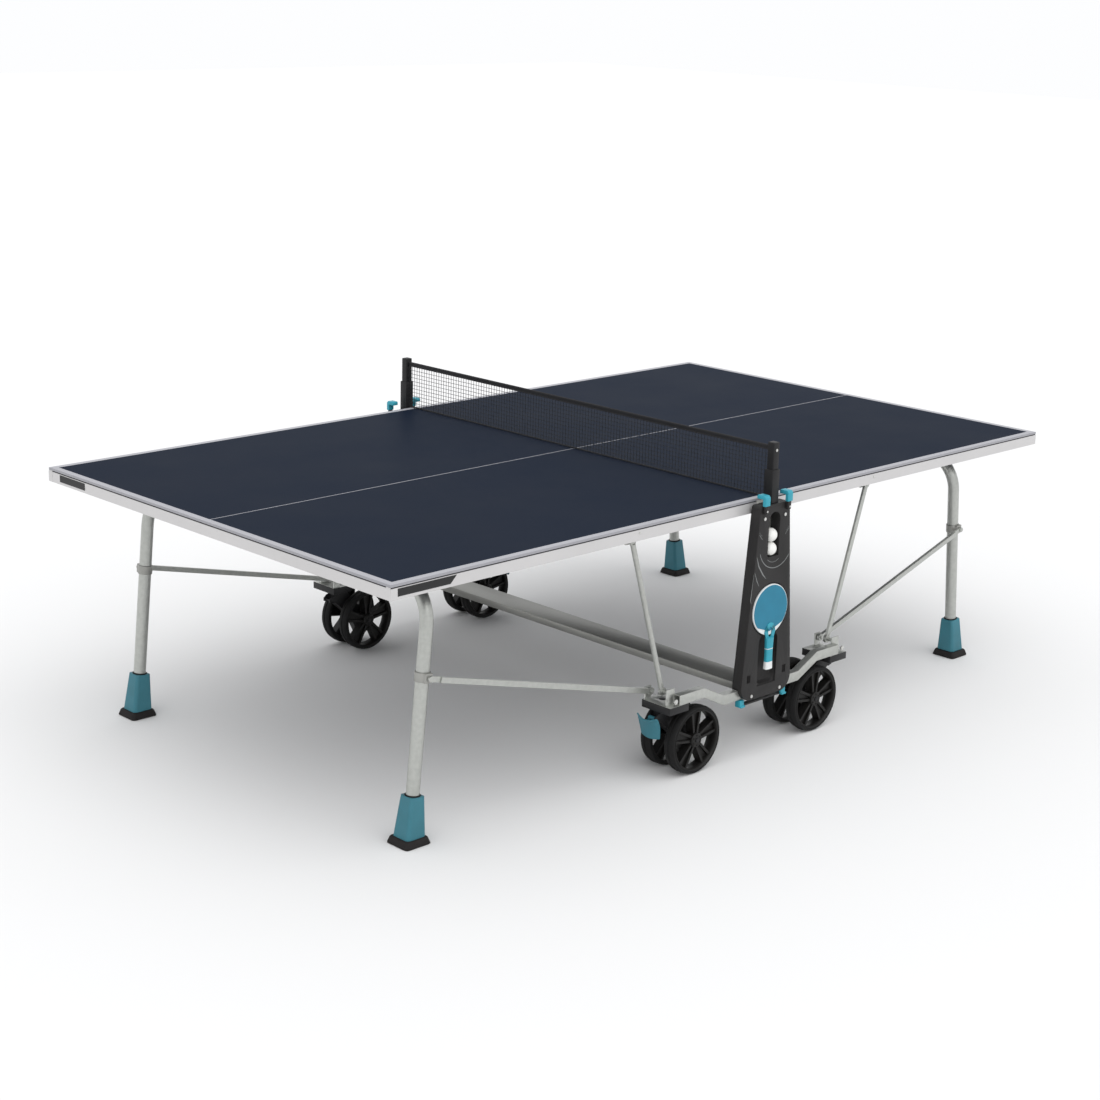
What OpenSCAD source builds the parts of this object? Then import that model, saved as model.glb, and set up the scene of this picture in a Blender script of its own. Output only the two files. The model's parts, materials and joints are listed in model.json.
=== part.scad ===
// Folding table tennis table on a wheeled trolley.
// X runs along the table, Y across it, Z up. The origin is on the floor, at the centre.
// Parts are drawn at the left (-X) end and on the near (-Y) side, and mirrored for the others.

/* [Playing surface] */
// Length of the table
table_l = 2740; // [2400:10:3000]
// Width of the table
table_w = 1525; // [1400:5:1650]
// Height of the playing surface above the floor
table_h = 760; // [740:1:780]
// Thickness of the playing board
board_t = 7; // [5:0.5:9]
// Width of the white line at the edges
line_w = 20; // [10:1:25]
// Gap between the two boards, at the net
board_gap = 4; // [4:0.5:8]

/* [Aprons and rails] */
// Depth of an apron below the playing surface
apron_h = 40; // [36:1:48]
// Thickness of an apron
apron_t = 20; // [16:1:22]
// Height of the dark groove under the board
groove_h = 3; // [2:0.5:4]
// Wall of the pressed and drawn metal
wall = 2; // [1.5:0.1:2.5]

/* [Legs] */
// Diameter of a leg tube
leg_d = 36; // [30:1:38]
// Distance from the table's end to the middle of a foot
foot_in = 183; // [120:1:250]
// Distance from the table's side to the middle of a leg
leg_in = 140.5; // [112:0.5:172]
// Outward lean of a leg, in degrees
leg_lean = 5.3; // [3:0.1:7]
// Height of the leg's hinge line
leg_hinge_z = 733; // [725:1:733]
// Width of a foot pad
pad_w = 88; // [76:1:96]
// Height of a foot pad
pad_h = 20; // [16:1:24]
// Height of a levelling cone above its pad
cone_h = 109; // [90:1:120]

/* [Trolley] */
// Half length of a side bow
bow_l = 352; // [340:1:380]
// Height of the top of a side bow at its ends
bow_z = 254; // [250:1:262]
// Depth of the dip in the middle of a side bow
bow_dip = 42; // [36:1:46]
// Height of a bow tube
bow_h = 29; // [24:1:32]
// Thickness of a bow tube
bow_t = 24; // [20:1:26]
// Width of the centre beam
beam_w = 94; // [70:1:110]
// Height of the centre beam
beam_h = 22; // [18:1:26]

/* [Casters] */
// Diameter of a wheel
wheel_d = 200; // [180:1:203]
// Width of one wheel
wheel_w = 38; // [30:1:40]
// Distance between the middles of twin wheels
twin = 90; // [84:1:96]
// Trail of the axle behind the swivel stem
trail = 80; // [60:1:90]
// Number of double spokes in a wheel
spokes = 5; // [3:1:7]

/* [Side pod] */
// Half width of the pod at the top
pod_top = 63; // [56:1:70]
// Half width of the pod near the bottom
pod_low = 108; // [98:1:116]
// Height of the top of the pod
pod_z1 = 748; // [744:1:752]
// Height of the bottom of the pod
pod_z0 = 178; // [172:1:179]
// Depth of the pod, front to back
pod_t = 34; // [30:1:36]

/* [Net] */
// Height of the net's top above the playing surface
net_h = 152.5; // [140:0.5:160]
// Thickness of the mesh as a closed sheet
net_t = 1.6; // [1:0.1:2]
// Width of a net post
post_w = 24; // [20:1:25]

/* [Bat and balls] */
// Diameter of a ball
ball_d = 40; // [38:1:40]
// Width of the bat's blade
blade_w = 150; // [140:1:152]

/* [Hidden] */
$fn = 64;
hl = table_l / 2;
hw = table_w / 2;
board_z = table_h - board_t;         // underside of the board
apron_z = table_h - apron_h;         // underside of the aprons
gap = board_gap / 2;
foot_x = hl - foot_in;               // middle of a foot, along X
leg_y = hw - leg_in;                 // middle of a leg, along Y
leg_r = leg_d / 2;
lean_t = tan(leg_lean);
leg_x = foot_x - lean_t * leg_hinge_z;            // hinge line of the leg
leg_len = leg_hinge_z / cos(leg_lean);            // hinge line to the floor, along the leg
side_y = hw + 5.5;                   // inner faces of bows, just outside the boards
bow_y = side_y + bow_t / 2;
pod_y = side_y + 4;                  // back of the pod, in front of its upright
pod_f = pod_y + pod_t;               // front of the pod
post_y = pod_y + post_w / 2 + 3;      // the net sleeves stand against the uprights
stem_x = 345;
stem_y = hw - 40.5;
socket_z = 203;                      // underside of the caster sockets
stay_x0 = 364;                       // stay pivot on the trolley
stay_z0 = 256;
stay_x1 = 508;                       // stay pivot on the half
stay_z1 = apron_z - 6;
stay_y = hw - 27.5;
stay_r = 7.5;
tie_x0 = 375;                        // tie pivot on the trolley
tie_z0 = 250;
tie_y0 = hw - 60.5;
tie_z1 = 445;                        // tie end at the leg
tie_x1 = foot_x - lean_t * tie_z1;
tie_y1 = leg_y + leg_r + 12.5;
tie_h = 15;
pin_r = 5;
run = 0.05;                          // radial clearance of a running fit
clip_x = 49;
clip_z = 735;
blade_z = 438;
slot_z0 = 595;
slot_z1 = 725;

// ---------- helpers ----------

// Puts a left part at either end: s is -1 for left, 1 for right.
module at_end(s) { mirror([s > 0 ? 1 : 0, 0, 0]) children(); }

// Puts a near part on either side: n is -1 for near, 1 for far.
module at_side(n) { mirror([0, n > 0 ? 1 : 0, 0]) children(); }

module both_sides() { at_side(-1) children(); at_side(1) children(); }

// A box from one corner to the other.
module box(a, b) { translate(a) cube([b[0] - a[0], b[1] - a[1], b[2] - a[2]]); }

// A round bar along Y, from y0 to y1.
module bar_y(r, x, z, y0, y1) { translate([x, y1, z]) rotate([90, 0, 0]) cylinder(r = r, h = y1 - y0); }

// A flat shape in X and Z, given thickness from y0 to y1.
module plate_y(y0, y1) { translate([0, y1, 0]) rotate([90, 0, 0]) linear_extrude(y1 - y0) children(); }

// ---------- playing halves ----------

module board() {
    difference() {
        box([-hl + 1, -hw + 1, board_z], [-gap, hw - 1, table_h]);
        line_bands(1);
    }
}

// The line at the edges and the one along the middle, let 0.3 mm into the board; over is how far
// they run past its edges and its top.
module line_bands(over) {
    z0 = table_h - 0.3; z1 = table_h + over;
    x0 = -hl + 1; x1 = -gap + over; y0 = -hw + 1;
    both_sides() box([x0 - over, y0 - over, z0], [x1, y0 + line_w, z1]);
    box([x0 - over, y0 + line_w, z0], [x0 + line_w, -y0 - line_w, z1]);
    box([x0 + line_w, -1.5, z0], [x1, 1.5, z1]);
}

module lines() { line_bands(0); }

// One apron bar along X: a channel, open below, with a set-back strip under the board.
module apron_bar(l, t) {
    body_z = board_z - groove_h - apron_z;
    difference() {
        cube([l, t, body_z]);
        translate([-1, wall, -1]) cube([l + 2, t - 2 * wall, body_z + 1 - wall]);
    }
    translate([0, 2, body_z]) cube([l, t - 4, groove_h]);
}

module aprons() {
    both_sides() translate([-hl, -hw, apron_z]) apron_bar(hl - 30, apron_t);
    translate([-hl, hw - apron_t - 0.2, apron_z]) rotate([0, 0, -90])
        apron_bar(table_w - 2 * apron_t - 0.4, apron_t);
}

// Cross rails under the board, with the lugs and pins that carry the stays.
module rails() {
    z0 = board_z - 30;
    box([-60, -hw + apron_t, z0], [-30, hw - apron_t, board_z]);
    box([-stay_x1 - 15, -stay_y + 9, z0], [-stay_x1 + 15, stay_y - 9, board_z]);
    both_sides() {
        box([-stay_x1 - 15, -stay_y + 9, stay_z1 - 12], [-stay_x1 + 15, -stay_y + 15, z0]);
        bar_y(pin_r, -stay_x1, stay_z1, -stay_y - 6.5, -stay_y + 9);
    }
    for (y = [-360, 360]) box([-hl + apron_t, y - 12, z0], [-leg_x - 45, y + 12, board_z]);
}

// Two blocks that carry the leg's crossbar, joined by a pair of beams.
module bearings() {
    z0 = leg_hinge_z - leg_r - 4;
    for (x = [-45, 25]) box([-leg_x + x, -455, board_z - 26], [-leg_x + x + 20, 455, board_z]);
    for (y = [-300, 300]) difference() {
        box([-leg_x - 44, y - 20, z0], [-leg_x + 44, y + 20, board_z]);
        bar_y(leg_r + run, -leg_x, leg_hinge_z, y - 21, y + 21);
    }
}

// Blank plates on the aprons at the left end.
module badge_plates() {
    z = apron_z + 8;
    plate_y(-hw - 0.8, -hw)
        polygon([[-hl + 22, z], [-hl + 190, z], [-hl + 210, z + 20], [-hl + 22, z + 20]]);
    box([-hl - 0.8, hw - 190, z], [-hl, hw - 60, z + 20]);
}

// ---------- legs ----------

// Moves a shape drawn on the leg's own axis to its place, leaning at the hinge line.
module on_leg() { translate([-leg_x, 0, leg_hinge_z]) rotate([0, leg_lean, 0]) children(); }

// A straight run of the leg tube, along Z.
module tube(l) {
    difference() {
        cylinder(r = leg_r, h = l);
        translate([0, 0, -1]) cylinder(r = leg_r - 1.6, h = l + 2);
    }
}

// A bend of the leg tube, in Y and Z: radius r, from angle a0 through a, let into the straight runs.
module bend(y, z, r, a0, a) {
    translate([0, y, z]) rotate([90, 0, 90]) rotate(a0 - 1)
        rotate_extrude(angle = a + 2) translate([r, 0]) circle(leg_r - 0.1);
}

// The U-shaped leg: up from each foot, in under the board by two bends, and across.
module leg() {
    r1 = 110; r2 = 60; a1 = 50;                  // two bends, and the slope between them
    z0 = -leg_len + 60;
    z1 = -158;                                   // the first bend starts here
    y2 = -leg_y + r1 * (1 - cos(a1));
    z2 = z1 + r1 * sin(a1);
    z3 = -r2 * (1 - cos(90 - a1));               // the second bend starts here
    y3 = y2 + (z3 - z2) * tan(a1);
    y4 = y3 + r2 * sin(90 - a1);
    on_leg() {
        both_sides() {
            translate([0, -leg_y, z0]) tube(z1 - z0);
            bend(-leg_y + r1, z1, r1, 180 - a1, a1);
            translate([0, y2, z2]) rotate([-a1, 0, 0]) tube((z3 - z2) / cos(a1));
            bend(y4, -r2, r2, 90, 90 - a1);
        }
        translate([0, -y4, 0]) rotate([90, 0, 0]) tube(-2 * y4);
    }
}

// A clamp on each leg with the flat ear that the tie's end lies against.
module leg_clamps() {
    z = -(leg_hinge_z - tie_z1) / cos(leg_lean);
    on_leg() both_sides() difference() {
        union() {
            translate([0, -leg_y, z - 13]) cylinder(r = leg_r + 3, h = 26);
            box([-12, -tie_y1 + 4, z - 13], [12, -leg_y - 10, z + 13]);
        }
        translate([0, -leg_y, z - 14]) cylinder(r = leg_r, h = 28);
    }
}

module foot_pad() {
    translate([-foot_x, -leg_y, 0]) difference() {
        linear_extrude(pad_h + 8, scale = 0.78) offset(r = 12) square(pad_w - 24, center = true);
        box([-pad_w, -pad_w, pad_h], [pad_w, pad_w, pad_h + 9]);
    }
}

// Levelling cone: a square, tapered sleeve that the leg's end slides in.
module foot_cone() {
    difference() {
        on_leg() translate([0, -leg_y, -leg_len + 10]) difference() {
            linear_extrude(cone_h + pad_h - 10, scale = 0.72) offset(r = 12) square(42, center = true);
            translate([0, 0, 34]) cylinder(r = leg_r + 0.3, h = cone_h + pad_h);
        }
        box([-foot_x - 80, -leg_y - 80, -20], [-foot_x + 80, -leg_y + 80, pad_h]);
    }
}

// ---------- stays and ties ----------

// A stay: a tube with a flat eye at each end.
module stay() {
    dx = stay_x0 - stay_x1; dz = stay_z1 - stay_z0;
    l = norm([dx, dz]);
    difference() {
        translate([-stay_x0, -stay_y, stay_z0]) rotate([0, atan2(dx, dz), 0]) {
            translate([0, 0, 10]) cylinder(r = stay_r, h = l - 20);
            for (z = [0, l]) bar_y(12, 0, z, -4.5, 4.5);
        }
        for (p = [[stay_x0, stay_z0], [stay_x1, stay_z1]])
            bar_y(pin_r + run, -p[0], p[1], -stay_y - 10, -stay_y + 10);
    }
}

// A tie: a slim bar from the trolley to the leg, with an eye below and a flat tab above.
module tie() {
    d = [-tie_x1 + tie_x0, -tie_y1 + tie_y0, tie_z1 - tie_z0];
    l = norm(d);
    up = asin(d[2] / l); az = atan2(d[1], d[0]);
    difference() {
        union() {
            translate([-tie_x0, -tie_y0, tie_z0]) rotate([0, -up, az])
                translate([0, -5, -tie_h / 2]) cube([l - 34, 10, tie_h]);
            bar_y(11, -tie_x0, tie_z0, -tie_y0 - 4, -tie_y0 + 4);
        }
        bar_y(4 + run, -tie_x0, tie_z0, -tie_y0 - 12, -tie_y0 + 12);
    }
    translate([-tie_x1, -tie_y1, tie_z1]) rotate([0, up, 0])
        translate([0, -2.5, -tie_h / 2]) cube([44, 5, tie_h]);
    bar_y(tie_h / 2, -tie_x1, tie_z1, -tie_y1 - 5, -tie_y1 + 2.5);
}

// ---------- trolley ----------

// Outline of a bow in X and Z, inset by e.
module bow_outline(e, over) {
    k = bow_dip / 85;
    x1 = 250; x2 = 165; x3 = bow_l + over;
    top = [[-x3, bow_z - e], [-x1 - e * k / 2, bow_z - e], [-x2 - e * k / 2, bow_z - bow_dip - e],
           [x2 + e * k / 2, bow_z - bow_dip - e], [x1 + e * k / 2, bow_z - e], [x3, bow_z - e]];
    h = bow_h - 2 * e;
    polygon(concat(top, [for (i = [5 : -1 : 0]) [top[i][0], top[i][1] - h]]));
}

module bow() {
    difference() {
        plate_y(-side_y - bow_t, -side_y) bow_outline(0, 0);
        plate_y(-side_y - bow_t + wall, -side_y - wall) bow_outline(wall, 1);
    }
}

module centre_beam() {
    z1 = bow_z - bow_dip - 4;
    difference() {
        box([-beam_w / 2, -side_y, z1 - beam_h], [beam_w / 2, side_y, z1]);
        box([-beam_w / 2 + wall, -side_y - 1, z1 - beam_h + wall], [beam_w / 2 - wall, side_y + 1, z1 - wall]);
    }
}

// Block under each end of a bow: it holds the caster's stem and the pins of the stay and tie.
module caster_socket() {
    z1 = bow_z - bow_h;
    x0 = -stem_x - 45; x1 = -stem_x + 32;
    difference() {
        box([x0, -side_y - bow_t, socket_z], [x1, -tie_y0 + 17, z1]);
        translate([-stem_x, -stem_y, socket_z - 1]) cylinder(r = 11 + run, h = z1 - socket_z + 2);
    }
    box([-stay_x0 - 16, -side_y, z1], [-stay_x0 + 16, -side_y + 3.5, stay_z0 + 14]);
    bar_y(pin_r, -stay_x0, stay_z0, -side_y + 3.5, -stay_y + 7);
    box([-tie_x0 - 12, -tie_y0 + 8, z1], [-tie_x0 + 12, -tie_y0 + 13, tie_z0 + 12]);
    bar_y(4, -tie_x0, tie_z0, -tie_y0 - 8, -tie_y0 + 8);
}

module upright() { box([-30, -pod_y, bow_z - bow_dip], [30, -side_y, pod_z1]); }

// Outline of the pod in X and Z: rounded at the corners, wider below.
module pod_outline() {
    hull() {
        for (s = [-1, 1]) {
            translate([s * (pod_top - 10), pod_z1 - 10]) circle(10);
            translate([s * (pod_low - 44), pod_z0 + 44]) circle(44);
        }
    }
}

module bat_outline(e) {
    translate([0, blade_z]) circle(blade_w / 2 + e);
    translate([-14 - e, 258 - e]) square([28 + 2 * e, 110]);
}

module pod() {
    cut_z = bow_z - bow_dip;
    difference() {
        plate_y(-pod_f, -pod_y) pod_outline();
        plate_y(-pod_f + 8, -pod_y + 1) offset(delta = -4) pod_outline();
        plate_y(-pod_f - 1, -pod_f + 5) bat_outline(4);
        plate_y(-pod_f - 1, -pod_f + 5) translate([-40, 214]) square([80, 46]);
        plate_y(-pod_f - 1, -pod_f + 9) {
            translate([-24, slot_z0]) square([48, slot_z1 - slot_z0 - 24]);
            translate([0, slot_z1 - 24]) circle(24);
        }
        for (s = [-1, 1]) plate_y(-pod_f - 1, -pod_f + 9)
            translate([s * 82 - 3, 232]) square([6, 24]);
        box([-120, -side_y - bow_t - 0.5, cut_z - bow_h - 0.5], [120, -pod_y + 1, cut_z + 0.5]);
        for (x = [-30, 30]) translate([x, -post_y, pod_z0 - 5]) cylinder(r = 4.25, h = 12);
    }
    // shelf and cheeks that hold the balls
    box([-30, -pod_f + 8, slot_z0 - 6], [30, -pod_y, slot_z0]);
    for (s = [-1, 1]) box([s * 27 - 3, -pod_f + 8, slot_z0], [s * 27 + 3, -pod_y, slot_z1]);
}

// Screws and pins that stand on the pods' fronts.
module pod_screws() {
    both_sides() for (s = [-1, 1]) {
        bar_y(3, s * clip_x, clip_z, -pod_f - 13, -pod_f);
        bar_y(5, s * 44, slot_z1 - 14, -pod_f - 2, -pod_f);
        bar_y(5, s * 62, 190, -pod_f - 2, -pod_f);
    }
}

// Clip beside the net: a thumb lever on its pin.
module clip() {
    x = -clip_x;
    difference() {
        union() {
            bar_y(9, x, clip_z, -pod_f - 11, -pod_f - 1);
            box([x - 7, -pod_f - 11, clip_z], [x + 7, -pod_f - 1, clip_z + 42]);
        }
        bar_y(3 + run, x, clip_z, -pod_f - 12, -pod_f);
    }
    box([x - 7, -pod_f - 1, clip_z + 34], [x + 7, -pod_f + 20, clip_z + 42]);
    box([x - 11, -pod_f - 13, clip_z + 42], [x + 11, -pod_f - 1, clip_z + 46]);
}

// Storage catch under the pod: a bar on two stubs, with a tab at each end.
module storage_catch() {
    y0 = -post_y - 7; y1 = -post_y + 7;
    z = pod_z0 - 18;
    box([-98, y0, z], [98, y1, z + 8]);
    for (s = [-1, 1]) box([s * 91 - 7, y0, z + 8], [s * 91 + 7, y1, z + 22]);
    for (x = [-30, 30]) translate([x, -post_y, z + 8]) cylinder(r = 4, h = 14);
}

// ---------- casters ----------

// Fork: stem, arm between the twin wheels, axle, and the ears and pin of the brake.
module fork() {
    ax = -stem_x + trail; az = wheel_d / 2; x = -stem_x - 24;
    translate([-stem_x, -stem_y, 185]) cylinder(r = 11, h = bow_z - bow_h - 185);
    plate_y(-stem_y - 17, -stem_y + 17) {
        polygon([[x, 197], [-stem_x + 24, 197], [ax + 20, az + 12], [ax + 4, az - 20],
                 [ax - 18, az - 10], [x, 168]]);
        translate([ax, az]) circle(20);
    }
    for (s = [-1, 1]) plate_y(-stem_y + s * 14.5 - 2.5, -stem_y + s * 14.5 + 2.5)
        polygon([[x, 195], [x, 169], [x - 10, 168], [x - 22, 172], [x - 22, 182], [x - 12, 190]]);
    bar_y(3, x - 15, 177, -stem_y - 17, -stem_y + 17);
    bar_y(6, ax, az, -stem_y - twin / 2 - wheel_w / 2 - 2, -stem_y + twin / 2 + wheel_w / 2 + 2);
}

// One wheel about its own axis: rim, hub, and a web with a window between each pair of spokes.
module wheel() {
    r = wheel_d / 2;
    p = 360 / spokes;
    rotate([90, 0, 0]) difference() {
        union() {
            translate([0, 0, -wheel_w / 2]) difference() {
                cylinder(r = r, h = wheel_w);
                translate([0, 0, -1]) cylinder(r = r - 15, h = wheel_w + 2);
            }
            translate([0, 0, -wheel_w / 2]) cylinder(r = 21, h = wheel_w);
            translate([0, 0, -8]) linear_extrude(16) difference() {
                circle(r - 14);
                for (i = [0 : spokes - 1]) rotate(i * p)
                    polygon([for (q = [[34, 0.28 * p], [r - 22, 0.38 * p], [r - 19, 0], [r - 22, -0.38 * p], [34, -0.28 * p]])
                             [q[0] * cos(q[1]), q[0] * sin(q[1])]]);
            }
        }
        translate([0, 0, -wheel_w]) cylinder(r = 6 + run, h = 2 * wheel_w);
    }
}

module twin_wheels() {
    for (s = [-1, 1]) translate([-stem_x + trail, -stem_y + s * twin / 2, wheel_d / 2]) wheel();
}

// Brake pedal: a hub on the fork's pin, a web, and a sloping plate that reaches between the wheels.
module brake() {
    x = -stem_x - 39; z = 177;
    difference() {
        union() {
            bar_y(6.5, x, z, -stem_y - 11.5, -stem_y + 11.5);
            box([x - 4, -stem_y - 11.5, z - 20], [x + 4, -stem_y + 11.5, z]);
            translate([x, -stem_y, z - 22]) rotate([0, 27, 0]) box([-27, -25, -4], [32, 25, 4]);
        }
        bar_y(3 + run, x, z, -stem_y - 12, -stem_y + 12);
    }
}

// ---------- net ----------

module net_sleeve() {
    w = post_w / 2 + 3;
    difference() {
        box([-w, -post_y - w, pod_z1], [w, -post_y + w, table_h + 85]);
        box([-w + 2.7, -post_y - w + 2.7, pod_z1 + 2], [w - 2.7, -post_y + w - 2.7, table_h + 86]);
    }
}

module net_post() {
    w = post_w / 2;
    box([-w, -post_y - w, pod_z1 + 2.3], [w, -post_y + w, table_h + net_h + 10]);
}

module net_mesh() {
    y = post_y - post_w / 2 - 3.5;
    box([-net_t / 2, -y, table_h + 4], [net_t / 2, y, table_h + net_h - 15]);
}

module net_tapes() {
    y = post_y - post_w / 2;
    box([-2.5, -y, table_h + net_h - 15], [2.5, y, table_h + net_h]);
    box([-1.5, -y + 3.5, table_h + 1.5], [1.5, y - 3.5, table_h + 4]);
}

// ---------- bat and balls ----------

module balls() {
    for (i = [0, 1]) translate([0, -pod_y - ball_d / 2 - 0.3, slot_z0 + ball_d / 2 + 0.3 + i * (ball_d + 0.2)])
        sphere(d = ball_d);
}

module bat_blade() {
    plate_y(-pod_f - 4, -pod_f + 4.7) difference() {
        union() {
            translate([0, blade_z]) circle(blade_w / 2);
            translate([-12, 340]) square([24, 40]);
        }
        translate([-40, 300]) square([80, 56]);
    }
}

module bat_handle() {
    plate_y(-pod_f - 12, -pod_f + 4.7) translate([-13, 262]) square([26, 94]);
}

// ---------- assembly ----------

metal = [0.76, 0.77, 0.75]; light = [0.80, 0.79, 0.79]; dark = [0.11, 0.11, 0.11];
teal = [0.27, 0.55, 0.61]; slate = [0.17, 0.20, 0.26]; char = [0.20, 0.20, 0.20];
blue = [0.23, 0.56, 0.68];

for (e = [["left", -1], ["right", 1]]) {
    color(slate) at_end(e[1]) board();
    color("white") at_end(e[1]) lines();
    color(light) at_end(e[1]) aprons();
    color(metal) at_end(e[1]) rails();
    color(dark) at_end(e[1]) bearings();
    color(metal) at_end(e[1]) leg();
    color(dark) at_end(e[1]) leg_clamps();
    color(metal) at_end(e[1]) both_sides() stay();
    color(light) at_end(e[1]) both_sides() tie();
    for (f = [["near_", -1], ["far_", 1]]) {
        n = str(f[0], e[0]);
        color(teal) at_end(e[1]) at_side(f[1]) foot_cone();
        color(dark) at_end(e[1]) at_side(f[1]) foot_pad();
        color(blue) at_end(e[1]) at_side(f[1]) clip();
        color(dark) at_end(e[1]) at_side(f[1]) fork();
        color(dark) at_end(e[1]) at_side(f[1]) twin_wheels();
    }
}
for (f = [["near", -1], ["far", 1]]) {
    color(metal) at_side(f[1]) bow();
    color(metal) at_side(f[1]) upright();
    color(char) at_side(f[1]) pod();
    color(blue) at_side(f[1]) storage_catch();
}
color(dark) badge_plates();
color(metal) centre_beam();
color(dark)  // caster_sockets
    both_sides() for (s = [-1, 1]) at_end(s) caster_socket();
color(light) pod_screws();
color(teal) brake();  // brake_near_left
color(teal) at_end(1) at_side(1) brake();  // brake_far_right
color(dark) both_sides() net_sleeve();  // net_sleeves
color(dark) both_sides() net_post();  // net_posts
color(dark) net_mesh();
color(dark) net_tapes();
color("white") balls();
color(blue) bat_blade();
color("white") bat_handle();
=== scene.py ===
# %% [markdown]
# # A folding table tennis table
# The frame holds every part of the table that carries load or moves: boards, aprons, legs, stays,
# trolley, pods, casters. This notebook dresses that frame. It gives each part its finish, and it
# builds the pieces that need finer shape than a design model has: the wheels, the net, the bat,
# the balls, the bolts and the trim of the pods.

# %% Load the frame
import json
import math

import bmesh
import bpy
from mathutils import Matrix, Vector

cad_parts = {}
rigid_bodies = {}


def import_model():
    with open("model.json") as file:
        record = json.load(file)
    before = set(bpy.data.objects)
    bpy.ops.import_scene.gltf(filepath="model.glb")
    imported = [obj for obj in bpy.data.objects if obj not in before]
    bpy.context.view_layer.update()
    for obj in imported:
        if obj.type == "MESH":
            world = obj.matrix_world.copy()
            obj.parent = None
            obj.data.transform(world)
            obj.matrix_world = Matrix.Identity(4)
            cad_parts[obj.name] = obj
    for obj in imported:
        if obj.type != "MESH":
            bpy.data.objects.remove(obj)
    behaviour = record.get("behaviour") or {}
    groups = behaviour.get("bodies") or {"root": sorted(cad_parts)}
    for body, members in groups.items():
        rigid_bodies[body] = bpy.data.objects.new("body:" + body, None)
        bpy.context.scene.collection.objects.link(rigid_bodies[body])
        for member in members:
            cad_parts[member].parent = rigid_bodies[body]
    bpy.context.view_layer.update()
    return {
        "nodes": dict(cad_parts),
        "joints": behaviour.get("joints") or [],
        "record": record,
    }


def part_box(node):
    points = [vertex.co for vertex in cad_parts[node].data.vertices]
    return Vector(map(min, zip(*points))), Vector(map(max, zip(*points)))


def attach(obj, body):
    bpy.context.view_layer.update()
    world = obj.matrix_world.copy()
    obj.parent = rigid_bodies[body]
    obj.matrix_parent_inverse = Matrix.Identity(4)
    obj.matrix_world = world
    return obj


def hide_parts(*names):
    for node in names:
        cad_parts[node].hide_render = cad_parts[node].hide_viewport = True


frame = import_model()
nodes = frame["nodes"]

# %% [markdown]
# ## The camera and the light
# The camera comes first, because it decides how fine each detail has to be. A long lens from a
# corner of the table keeps the board's edges nearly parallel. Its direction is given by three
# angles: where it looks in plan, how far it looks down, and a slight roll.

# %% Camera
CAMERA_AT = Vector((-4.443, -4.411, 2.197))
LOOK_PLAN, LOOK_DOWN, ROLL = (math.radians(a) for a in (44.625, 15.724, 1.526))
LENS_MM = 68.45


def aim(plan, down, roll):
    """The camera's rotation: it looks along `plan` (from +Y towards +X) and `down` below level."""
    ahead = Vector((math.sin(plan) * math.cos(down), math.cos(plan) * math.cos(down), -math.sin(down)))
    right = ahead.cross(Vector((0, 0, 1))).normalized()
    up = right.cross(ahead)
    right, up = right * math.cos(roll) + up * math.sin(roll), up * math.cos(roll) - right * math.sin(roll)
    return Matrix((right, up, -ahead)).transposed()


camera = bpy.data.objects.new("camera", bpy.data.cameras.new("camera"))
camera.data.lens = LENS_MM
camera.data.sensor_width = 36
camera.matrix_world = Matrix.Translation(CAMERA_AT) @ aim(LOOK_PLAN, LOOK_DOWN, ROLL).to_4x4()
bpy.context.collection.objects.link(camera)
bpy.context.scene.camera = camera

# %% [markdown]
# The light is a studio's: a bright, even surround and one very broad source, high on the near
# side. A wide source gives a satin board a soft sheen and leaves no hard edge to a shadow. It also
# lights the floor evenly as far as the eye goes, so there is no horizon behind the table.

# %% Floor and light
sun = bpy.data.lights.new("broad_source", "SUN")
sun.energy, sun.angle = 1.15, math.radians(75)
sun_at = bpy.data.objects.new("broad_source", sun)
sun_at.rotation_euler = (Vector((0, 0, 0)) - Vector((-0.25, -0.62, 1.0))).to_track_quat("-Z", "Y").to_euler()
bpy.context.collection.objects.link(sun_at)

world = bpy.data.worlds.new("studio")
world.use_nodes = True
world.node_tree.nodes["Background"].inputs["Color"].default_value = (0.985, 0.99, 1.0, 1)
world.node_tree.nodes["Background"].inputs["Strength"].default_value = 1.0
bpy.context.scene.world = world
bpy.context.scene.view_settings.view_transform = "Standard"

floor_mesh = bpy.data.meshes.new("floor")
floor_mesh.from_pydata([(-30, -30, 0), (30, -30, 0), (30, 30, 0), (-30, 30, 0)], [], [(0, 1, 2, 3)])
floor = bpy.data.objects.new("floor", floor_mesh)
floor.location.z = -0.0005
bpy.context.collection.objects.link(floor)

# %% [markdown]
# ## Finishes
# Every finish is a small node tree. Colour varies a little over a surface, roughness varies with
# it, and a fine bump breaks up reflections. One builder lays out the parts that all of them share,
# and each finish then states only what makes it different. The pattern is read from Object
# coordinates, in metres, so its scale is real.

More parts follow.
